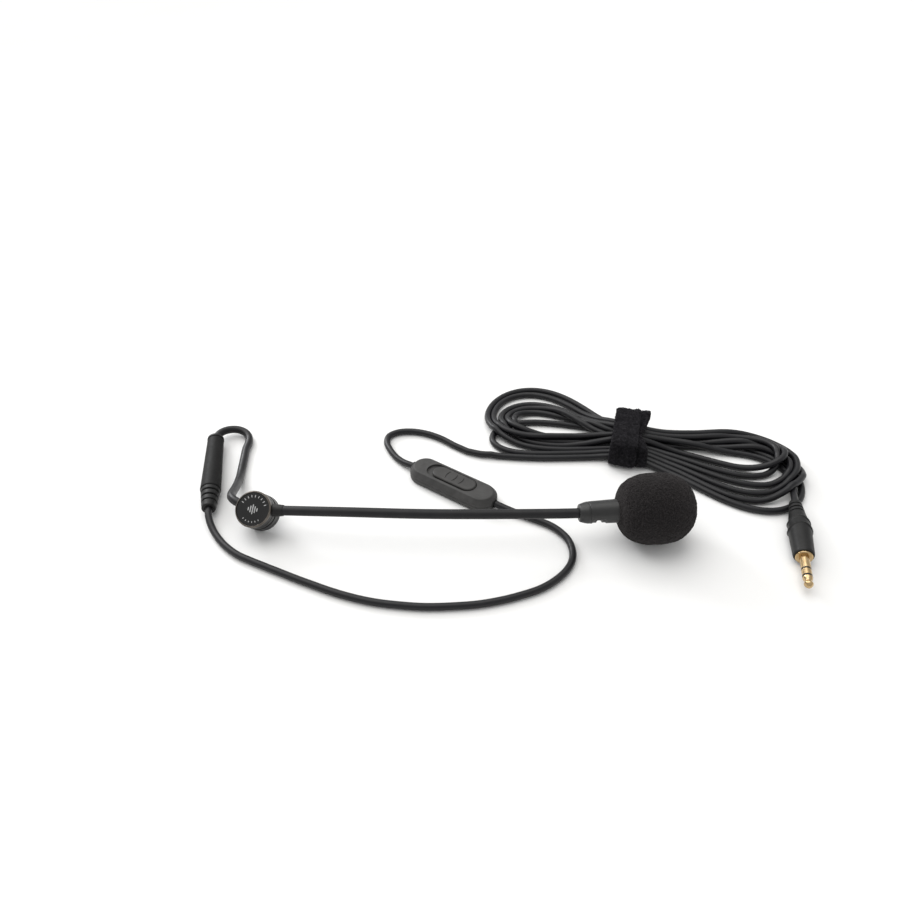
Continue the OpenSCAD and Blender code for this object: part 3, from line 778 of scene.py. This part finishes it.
def boom_line():
    """The boom's smooth line, on into the tail collar."""
    into = HEAD.point(0, 0, 3.2 * MM) / MM
    return catmull(np.vstack([BOOM_POINTS, into]), 0.6) * MM


def offset_line(line, sideways, up):
    tangents = np.gradient(line, axis=0)
    tangents /= np.linalg.norm(tangents, axis=1)[:, None]
    side = np.cross(tangents, (0, 0, 1))
    side /= np.linalg.norm(side, axis=1)[:, None]
    above = np.cross(side, tangents)
    return line + sideways * side + up * above


def boom():
    """The sleeve and its wires in three stretches."""
    line = boom_line()
    middles = (BOOM_POINTS[:-1] + BOOM_POINTS[1:]) / 2 * MM
    cuts = [0] + [int(np.argmin(np.linalg.norm(line - m, axis=1))) for m in middles[1:3]]
    cuts.append(len(line) - 1)
    strands = [
        ("boom_sleeve", "boom_sleeve", 0, 0, BOOM_R, SLEEVE_BORE, "boom_rubber", 28),
        ("boom_wire", "boom_wire", 0.5 * MM, 0, 0.5 * MM, 0, "steel", 12),
        ("signal_wire_1", "signal_wires", -0.6 * MM, 0.36 * MM, 0.3 * MM, 0, "copper_wire", 10),
        ("signal_wire_2", None, -0.6 * MM, -0.36 * MM, 0.3 * MM, 0, "copper_wire", 10)]
    for name, nodes, sideways, up, radius, bore, slot, sides in strands:
        strand = offset_line(line, sideways, up)
        for i in range(3):
            piece = tube(f"{name}_{'abc'[i]}", strand[cuts[i]:cuts[i + 1] + 1], radius, None,
                         slot, sides, bore=bore)
            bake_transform(piece)
            if nodes:
                covered = [(1,), (2, 3), (4,)][i]
                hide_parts(*[f"{nodes}_{k}" for k in covered])


def gland_ring():
    low, high, r = BOOM.span("boom_gland")
    section = [(r - 0.15 * MM, low), (r, low + 0.3 * MM), (r, low + 2.2 * MM),
               (r - 0.28 * MM, high), (BOOM_R, high), (BOOM_R, low)]
    gland = ring("boom_gland_ring", BOOM, section, 0.3 * MM, "clasp", "rubber", 72)
    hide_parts("boom_gland")


# ---- microphone head ----


def head_housing():
    """The slim housing, with the port behind the foam as a notch in a shallow window."""
    low, high, r = HEAD.span("capsule_housing")
    r += HOUSING_SWELL
    collar = HEAD.span("tail_collar")[1]
    neck = r - 0.3 * MM
    mouth = HEAD.span("windscreen")[0]
    start = [(0.05 * MM, low), (3.2 * MM, low), (3.2 * MM, collar), (neck - 0.12 * MM, collar),
             (neck, collar + 0.15 * MM)]
    wall = [(neck + (r - neck) * t, collar + (mouth - collar) * t)
            for t in np.linspace(0.06, 1, 90)]
    end = [(r, high - 0.6 * MM), (r - 0.6 * MM, high), (2.9 * MM, high), (2.9 * MM, high - 1 * MM),
           (0.05 * MM, high - 1 * MM)]

    def port(radius, w, t):
        if radius <= neck - 0.1 * MM or w >= mouth:
            return radius, w
        off = abs(math.atan2(math.sin(t - PORT_TURN), math.cos(t - PORT_TURN))) * r
        for half_length, half_width, depth in PORT_CUTS:
            across = (abs(w - PORT_AT) / half_length) ** 6 + (off / half_width) ** 6
            step = min(max((1 - across ** (1 / 6)) / 0.12, 0), 1)
            radius -= depth * step * step * (3 - 2 * step)
        return radius, w

    profile = [*start, *wall, *rounded([wall[-1], *end], 0.25 * MM)[1:]]
    housing = turned("head_housing", HEAD, profile, "head", "black_plastic", 200, shape=port)
    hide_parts("capsule_housing")


def collar_ring():
    low, high, r = HEAD.span("tail_collar")
    hole = BOOM_R + 0.05 * MM
    r += HOUSING_SWELL
    section = [(2.95 * MM, low + 0.4 * MM), (3.3 * MM, low + 0.75 * MM),
               (3.75 * MM, low + 2.2 * MM), (r, low + 3.5 * MM), (r, high), (3.2 * MM, high),
               (3.2 * MM, high - 0.6 * MM), (hole, high - 0.6 * MM), (hole, low + 0.4 * MM)]
    collar = ring("tail_collar_ring", HEAD, section, 0.16 * MM, "head", "black_plastic")
    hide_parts("tail_collar")


def foam_windscreen():
    """A ball of open-cell foam, its pores real dents in the mesh, with a bore for the head."""
    low, high, r = HEAD.span("windscreen")
    length = high - low
    r -= 0.5 * MM
    low += 0.35 * MM
    length -= 0.75 * MM
    widest = 0.49 * length
    mouth = 7.4 / 13.5
    bore = HEAD.span("capsule_housing")[2] + HOUSING_SWELL + 0.08 * MM
    depth = 19 * MM
    spacing = 0.29 * MM
    # How square the ball is, towards the boom and beyond its widest place. 2 is a plain ellipse.
    shoulder, crown = 2.6, 2.3
    edge = (1 - mouth ** shoulder) ** (1 / shoulder)

    def outline(a):
        if a > widest:
            t = (a - widest) / (length - widest)
            return r * max(1 - t ** crown, 0) ** (1 / crown)
        t = (widest - a) / widest * edge
        return r * (1 - t ** shoulder) ** (1 / shoulder)

    places = length * (1 - np.cos(np.linspace(0, math.pi, 1200))) / 2
    fine = np.array([(outline(a), a) for a in places])
    outer = evenly(np.c_[fine, np.zeros(len(fine))], spacing)[:, :2]
    # The face swells a little round the housing.
    swell = 1.2 * MM
    rim_r = outer[0][0]
    face = [(x, -swell * ((rim_r - x) / (rim_r - bore)) ** 1.2)
            for x in np.arange(bore + 0.25 * MM, rim_r - 0.1 * MM, spacing)]
    inner = [(bore, w) for w in np.linspace(depth, 0.1 * MM - swell, 26)]
    profile = np.array([(0.05 * MM, depth), *inner, *face, *outer[:-1], (0.06 * MM, length)])
    profile[:, 1] += low

    def pores(radius, w, t):
        if radius <= bore + 0.05 * MM and w < low + depth + 0.1 * MM:
            return radius, w
        p = Vector(HEAD.point(radius * math.cos(t), radius * math.sin(t), w)) / MM
        near = noise.voronoi(p * 1.45)[0]
        pit = min(near[0] / 0.62, 1)
        rim = min((near[1] - near[0]) / 0.3, 1)
        lumps = noise.fractal(p * 0.4, 0.8, 2.0, 3)
        fuzz = noise.noise(p * 3.1)
        out = (0.17 * pit * pit - 0.12 * rim * (1 - pit) - 0.1 + 0.14 * lumps + 0.05 * fuzz) * MM
        edge_in = min(max((w - low) / (1.2 * MM), 0.4), 1)
        slope_w = (w - low - widest) / (length / 2)
        slope_r = radius / r
        total = math.hypot(slope_w, slope_r) or 1
        out *= edge_in
        return max(radius + out * slope_r / total, 0.02 * MM), w + out * slope_w / total

    foam = turned("foam_windscreen", HEAD, profile, "foam", "foam", 300, shape=pores)
    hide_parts("windscreen")


# ---- coupler ----

COUPLER = Axis(FRONT_ROUTE[1] * MM, FRONT_ROUTE[0] - FRONT_ROUTE[1])


def coupler():
    low, high, r = COUPLER.span("coupler_boot")
    profile = [(2.5 * MM, low), (2.7 * MM, low + 0.35 * MM)]
    for k in range(3):
        at = low + (2.7 + 2.7 * k) * MM
        rim = (2.7 + 1.05 * (at - low) / (high - low)) * MM
        profile += [(rim, at), (2.5 * MM, at + 0.05 * MM), (2.5 * MM, at + 0.65 * MM),
                    (rim + 0.08 * MM, at + 0.7 * MM)]
    profile += [(r, high - 0.02 * MM), (CORD_R, high - 0.02 * MM), (CORD_R, low)]
    boot = ring("coupler_boot_ribs", COUPLER, profile, 0.3 * MM, "clasp", "rubber")
    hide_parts("coupler_boot")

    low, high, r = COUPLER.span("coupler_barrel")
    mouth = 3.35 * MM
    socket = 2.35 * MM
    section = [(CORD_R, low), (r - 0.35 * MM, low), (r, low + 0.5 * MM),
               (mouth, high - 0.5 * MM), (mouth - 0.25 * MM, high), (socket, high),
               (socket, low + 18 * MM), (CORD_R, low + 18 * MM)]
    barrel = ring("coupler_sleeve", COUPLER, section, 0.3 * MM, "clasp", "barrel_plastic")
    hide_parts("coupler_barrel")

    low, high, r = COUPLER.span("coupler_cap")
    section = [(r, low + 0.12 * MM), (r, high - 0.5 * MM), (r - 0.45 * MM, high),
               (MIC_LEAD_R, high), (MIC_LEAD_R, low), (r - 0.2 * MM, low)]
    cap = ring("coupler_plug_cap", COUPLER, section, 0.25 * MM, "clasp", "soft_plastic")
    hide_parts("coupler_cap")
    return [boot, barrel, cap]


# ---- mute switch ----

SWITCH_WAY = -np.array(JOINTS["mute_slide"]["axis"])
SWITCH = Axis(middle("switch_lower_shell") * (1, 1, 0), (0, 0, 1), np.cross((0, 0, 1), SWITCH_WAY))
SWITCH_LEN = 40 * MM
SWITCH_W = 12.9 * MM
SWITCH_H = 5.8 * MM
SPLIT_Z = 2.6 * MM
RECESS_X = -0.7 * MM
RECESS_LEN = 22.8 * MM
RECESS_W = 7.9 * MM
RECESS_Z = SWITCH_H - 0.95 * MM
KNOB_LEN = 19.8 * MM
KNOB_W = 6.9 * MM


def inset_rings(steps, length=SWITCH_LEN, width=SWITCH_W, x=0):
    """Pill rings from (inset, height) steps."""
    return [(length - 2 * inset, width - 2 * inset, height, x) for inset, height in steps]


def switch():
    base = rounded([(2.2 * MM, 0), (0.7 * MM, 0), (0.05 * MM, 0.7 * MM), (0, SPLIT_Z - 0.12 * MM),
                    (0.22 * MM, SPLIT_Z), (2 * MM, SPLIT_Z)], 0.35 * MM, 4)
    lower = pill("switch_base", SWITCH, inset_rings(base), "clasp", "switch_plastic")
    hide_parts("switch_lower_shell")

    rise = rounded([(2 * MM, SPLIT_Z), (0.22 * MM, SPLIT_Z), (0, SPLIT_Z + 0.12 * MM),
                    (0.06 * MM, 3.75 * MM), (1.5 * MM, SWITCH_H - 0.12 * MM),
                    (2 * MM, SWITCH_H), (2.15 * MM, SWITCH_H)], 0.45 * MM, 5)
    rings = inset_rings(rise)
    recess = rounded([(-0.12 * MM, SWITCH_H), (0, SWITCH_H), (0.06 * MM, RECESS_Z),
                      (2 * MM, RECESS_Z)], 0.16 * MM, 3)
    rings += inset_rings(recess, RECESS_LEN, RECESS_W, RECESS_X)
    upper = pill("switch_cover", SWITCH, rings, "clasp", "switch_plastic")
    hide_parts("switch_upper_shell")
    return [lower, upper]


def knob():
    x = RECESS_X + RECESS_LEN / 2 - 0.15 * MM - KNOB_LEN / 2
    top = SWITCH_H + 0.6 * MM
    outline = rounded([(0.6 * MM, RECESS_Z + 0.1 * MM), (0, RECESS_Z + 0.15 * MM),
                       (0.04 * MM, top - 0.35 * MM), (0.45 * MM, top), (1.6 * MM, top)],
                      0.3 * MM, 5)
    body = pill("switch_knob", SWITCH, inset_rings(outline, KNOB_LEN, KNOB_W, x), "knob",
                "knob_plastic")
    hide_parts("mute_knob")
    pieces = [body]
    pitch, half_rib, bow = 3.2 * MM, 2.1 * MM, 0.5 * MM
    for k in (-1, 0, 1):
        line = np.array([SWITCH.point(x + pitch * k + bow * (1 - t * t) * (k or 1), half_rib * t,
                                      top + 0.02 * MM) for t in np.linspace(-1, 1, 17)])
        pieces.append(tube(f"knob_grip_{k + 2}", line, 0.26 * MM, "knob", "knob_plastic", 12,
                           flare=lambda i: 1 - 0.55 * abs(i / 8 - 1) ** 4))
    return pieces


def grommets():
    """A short rubber sleeve at each end of the switch, round its cord."""
    pieces = []
    for name, way in (("switch_grommet_near", 1), ("switch_grommet_far", -1)):
        axis = Axis(SWITCH.point(0, 0, SPLIT_Z), SWITCH_WAY * way)
        out = SWITCH_LEN / 2
        section = [(1.9 * MM, out - 4.6 * MM), (1.9 * MM, out - 0.1 * MM),
                   (1.75 * MM, out + 0.1 * MM), (CORD_R, out + 0.1 * MM), (CORD_R, out - 4.6 * MM)]
        pieces.append(ring(name, axis, section, 0.2 * MM, "clasp", "rubber", 48, 3))
    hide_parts("switch_grommets")
    return pieces


# ---- plug ----

PLUG = Axis(MOUNTS["plug"]["pos_m"], MOUNTS["plug"]["axis"])


def plug():
    start, end, _ = PLUG.span("plug_body")
    collar_low, _, collar_r = PLUG.span("plug_collar")

    def at(mm):
        return start + mm * MM

    profile = [(2.05 * MM, at(0)), (2.3 * MM, at(0.3))]
    for k in range(3):
        w = 2 + 2.1 * k
        rim = 2.3 + 0.8 * w / 7
        profile += [(rim * MM, at(w)), (2.1 * MM, at(w + 0.06)), (2.1 * MM, at(w + 0.54)),
                    ((rim + 0.07) * MM, at(w + 0.6))]
    profile += [(3.12 * MM, at(7.2)), (3.6 * MM, at(10.4)), (4.02 * MM, at(13.2)),
                (4.2 * MM, at(15.6)), (4.16 * MM, at(18.2)), (3.98 * MM, at(23)),
                (3.76 * MM, at(28.3)), (3.5 * MM, end), (collar_r, end),
                (collar_r, collar_low), (CORD_R, collar_low), (CORD_R, start)]
    ridges, wave, ridge = (11.8, 15.9), 0.8, 0.42

    def grips(radius, w, t):
        """Wavy ridges round the boot, where the fingers hold it."""
        along = (w - start) / MM
        if 9 < along < 19.5 and radius > 3.3 * MM:
            for place in ridges:
                radius += hill(along, ridge * MM, place + wave * math.cos(2 * t), ridge)
        return radius, w

    body = list(rounded(profile, 0.35 * MM, 4, True))
    dense = []
    for a, b in zip(body, body[1:] + body[:1]):
        long = np.linalg.norm(b - a) > 0.35 * MM and min(a[0], b[0]) > 3 * MM
        count = int(np.linalg.norm(b - a) / (0.25 * MM)) + 1 if long else 1
        dense += [a + (b - a) * i / count for i in range(count)]
    shell = turned("plug_grip", PLUG, dense, "clasp", "soft_plastic", 120, True, grips)
    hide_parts("plug_body")

    bore = 1.05 * MM
    gold = []
    chamfers = {"collar": 0.25 * MM, "sleeve": 0.05 * MM, "ring": 0.05 * MM}
    for name, c in chamfers.items():
        low, high, r = PLUG.span(f"plug_{name}")
        section = [(r, low), (r, high - c), (r - c, high), (bore, high), (bore, low)]
        piece = ring(f"gold_{name}", PLUG, section, 0.08 * MM, "clasp", "gold", steps=3)
        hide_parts(f"plug_{name}")
        gold.append(piece)

    low, high, r = PLUG.span("plug_ring")
    tip = high + 0.7 * MM
    profile = [(0.05 * MM, tip), (r, tip), (r, tip + 0.3 * MM), (r - 0.12 * MM, tip + 0.9 * MM),
               (1.13 * MM, tip + 1.9 * MM), (1.45 * MM, tip + 2.5 * MM), (1.62 * MM, tip + 3 * MM),
               (1.5 * MM, tip + 3.55 * MM), (0.8 * MM, tip + 4.4 * MM),
               (0.45 * MM, tip + 4.6 * MM), (0.05 * MM, tip + 4.6 * MM)]
    point = turned("gold_tip", PLUG, rounded(profile, 0.3 * MM, 5), "clasp", "gold", 96)
    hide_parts("plug_tip")
    return [shell, point, *gold]


# ---- tie ----

def tie_point(flat, up, side):
    """A point across, above and along the tie."""
    xy = TIE_AT * MM + TIE_ALONG * side + TIE_ACROSS * flat
    return np.array((xy[0], xy[1], up))


def strap_wrap(name, start, stop, wide, tall, seed, skew, tuck=0.0):
    """One wrap of the fabric strap round the hank, lumpy, with frayed edges. tuck is how far
    its end stands out at the top of the far side, sag how far it slips forward on the near one."""
    sag = 1.8 * MM
    thick = 1.25 * MM
    steps = 46
    # By how much the tucked end is drawn in or bulges, where, and how widely, in millimetres.
    pinch, bulge = (2.6, -4, 5), (1.1, 9, 3.5)
    near = -wide / 2 - 0.9 * MM
    corners = [(wide / 2, 0), (wide / 2, tall), (near, tall), (near, 0)]
    section = rounded(corners, 4.6 * MM, 10, True)
    section = np.vstack([section, section[:1]])
    section = evenly(np.c_[section, np.zeros(len(section))], 0.42 * MM)[:-1, :2]
    heading = np.roll(section, -1, axis=0) - np.roll(section, 1, axis=0)
    heading /= np.linalg.norm(heading, axis=1)[:, None]
    outer, inner = [], []
    for i in range(steps):
        s = i / (steps - 1)
        edge = (2 * s - 1) ** 10 * thick * 0.42
        ring_out, ring_in = [], []
        for k, (flat, up) in enumerate(section):
            nu, nv = heading[k][1], -heading[k][0]
            ragged = noise.noise(Vector((k * 0.45, seed, 4 * round(s))))
            fray = 0.32 * MM * ragged * (2 * s - 1) ** 6
            side = start + (stop - start) * s + skew * flat + fray
            p = Vector((flat, up, side)) / MM
            lumps = 0.5 * noise.fractal(p * 0.26 + Vector((seed, 0, 0)), 0.8, 2.0, 3)
            tufts = 0.26 * noise.fractal(p * 1.9 + Vector((0, seed, 0)), 0.7, 2.0, 3)
            out = (lumps + tufts) * MM * (1 if nv >= 0 else 0.3) - edge
            out = min(out, 0.4 * MM)
            far = math.hypot(flat - wide * 0.36, up - tall) / (4.2 * MM)
            out += tuck * math.exp(-far * far) * s
            if tuck:
                side += s * (hill(flat / MM, *bulge) - hill(flat / MM, *pinch)) * MM
            flat -= hill(flat, sag * s, near, 6 * MM)
            ring_out.append(tie_point(flat + nu * out, max(up + nv * out, 0.02 * MM), side))
            deep = thick - edge
            ring_in.append(tie_point(flat - nu * deep, max(up - nv * deep, 0.03 * MM), side))
        outer.append(ring_out)
        inner.append(ring_in)
    rings = outer + inner[::-1]
    faces = rings_to_faces(len(rings), len(section), True)
    return new_mesh(name, [p for ring in rings for p in ring], faces, "clasp", "tie", 180)


def strap_fuzz(strap, name, count, seed):
    """Short curled fibres standing on a strap's outside."""
    chance = random.Random(seed)
    mesh = strap.data
    half = len(mesh.polygons) // 2
    outside = [f for f in mesh.polygons if f.index < half and f.center.z > 1.2 * MM]
    verts, faces = [], []
    for face in chance.sample(outside, count):
        out = face.normal
        lean = out.orthogonal()
        lean.rotate(Matrix.Rotation(chance.uniform(0, 2 * math.pi), 3, out))
        reach = chance.uniform(0.25, 0.6) * MM
        root = face.center - out * 0.1 * MM
        across = out.cross(lean) * 0.03 * MM
        base = len(verts)
        for t in (0, 0.35, 0.7, 1):
            at = root + out * reach * math.sin(2.2 * t) + lean * reach * 0.9 * t
            narrow = 1 - 0.7 * t
            verts += [at + across * narrow, at - across * narrow, at + lean * 0.04 * MM * narrow]
        for j in range(3):
            for k in range(3):
                n = (k + 1) % 3
                a, b = base + 3 * j, base + 3 * j + 3
                faces.append((a + k, a + n, b + n, b + k))
        faces += [(base + 2, base + 1, base), (base + 9, base + 10, base + 11)]
    return new_mesh(name, verts, faces, "clasp", "tie", 180)


def tie():
    low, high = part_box("cable_tie")
    tall = high[2] - low[2]
    wide = 27 * MM
    lower = strap_wrap("tie_wrap_under", -3 * MM, 7.6 * MM, wide - 1.4 * MM, tall - 0.7 * MM, 3.0,
                       0.03, 2.2 * MM)
    upper = strap_wrap("tie_wrap_over", -6.8 * MM, 4 * MM, wide + 0.8 * MM, tall + 0.9 * MM,
                       11.0, 0.11)
    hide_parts("cable_tie")
    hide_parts("tie_tail")
    return [upper, lower, strap_fuzz(upper, "tie_fuzz_over", 1300, 5),
            strap_fuzz(lower, "tie_fuzz_under", 900, 6)]


# ---- what stays as the CAD has it ----

KEPT = {
    "steel": "capsule_grille electret_capsule keeper_plate swivel_clip slide_switch",
    "rubber": "capsule_boot lead_gland", "gold": "coupler_pin coupler_contacts",
    "board": "splice_board switch_board", "felt": "dust_felt", "black_plastic": "turntable",
    "magnet": "base_magnet", "white_plastic": "switch_slider", "insulator": "plug_insulators",
}


def dress_kept_nodes():
    for slot, names in KEPT.items():
        for name in names.split():
            mesh = NODES[name].data
            mesh.materials.clear()
            mesh.materials.append(MATERIALS[slot])


def floor():
    size, count = 12.0, 60
    grid = np.linspace(-size, size, count)
    verts = [(x, y, -0.05 * MM) for y in grid for x in grid]
    faces = [(j * count + i, j * count + i + 1, (j + 1) * count + i + 1, (j + 1) * count + i)
             for j in range(count - 1) for i in range(count - 1)]
    mesh = bpy.data.meshes.new("floor")
    mesh.from_pydata(verts, [], faces)
    paper = Shader("paper", Roughness=0.75, Specular_IOR_Level=0.25)
    paper.colours(paper.noise(9, 4), [(0.3, (0.86, 0.86, 0.855)), (0.7, (0.88, 0.88, 0.875))])
    paper.bump(paper.noise(900, 4, 0.6), 0.03 * MM)
    mesh.materials.append(paper.material)
    placed("floor", mesh)


def cord(name, nodes, line, radius, sides):
    """A cord as a tube along its line, from its exit at start."""
    obj = tube(name, line, radius, "clasp", "cord", sides)
    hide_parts(*nodes)


def cords(switch_pieces, coupler_pieces, plug_pieces, tie_pieces):
    cord("short_lead", ["mic_lead"], catmull(MIC_LEAD_ROUTE * MM, 0.8 * MM), MIC_LEAD_R, 20)
    cord("front_lead_cord", ["front_lead"], catmull(FRONT_ROUTE * MM, 0.8 * MM), CORD_R, 20)
    cord("long_cord", ["back_lead", "hank", "plug_lead"], catmull(long_cord_line(), 0.75 * MM),
         CORD_R, 18)


floor()
clasp_shell()
trim_ring()
badge_disc()
clasp_base()
pad_disc()
boom()
gland_ring()
head_housing()
collar_ring()
foam_windscreen()
dress_kept_nodes()
cords(switch() + knob() + grommets(), coupler(), plug(), tie())
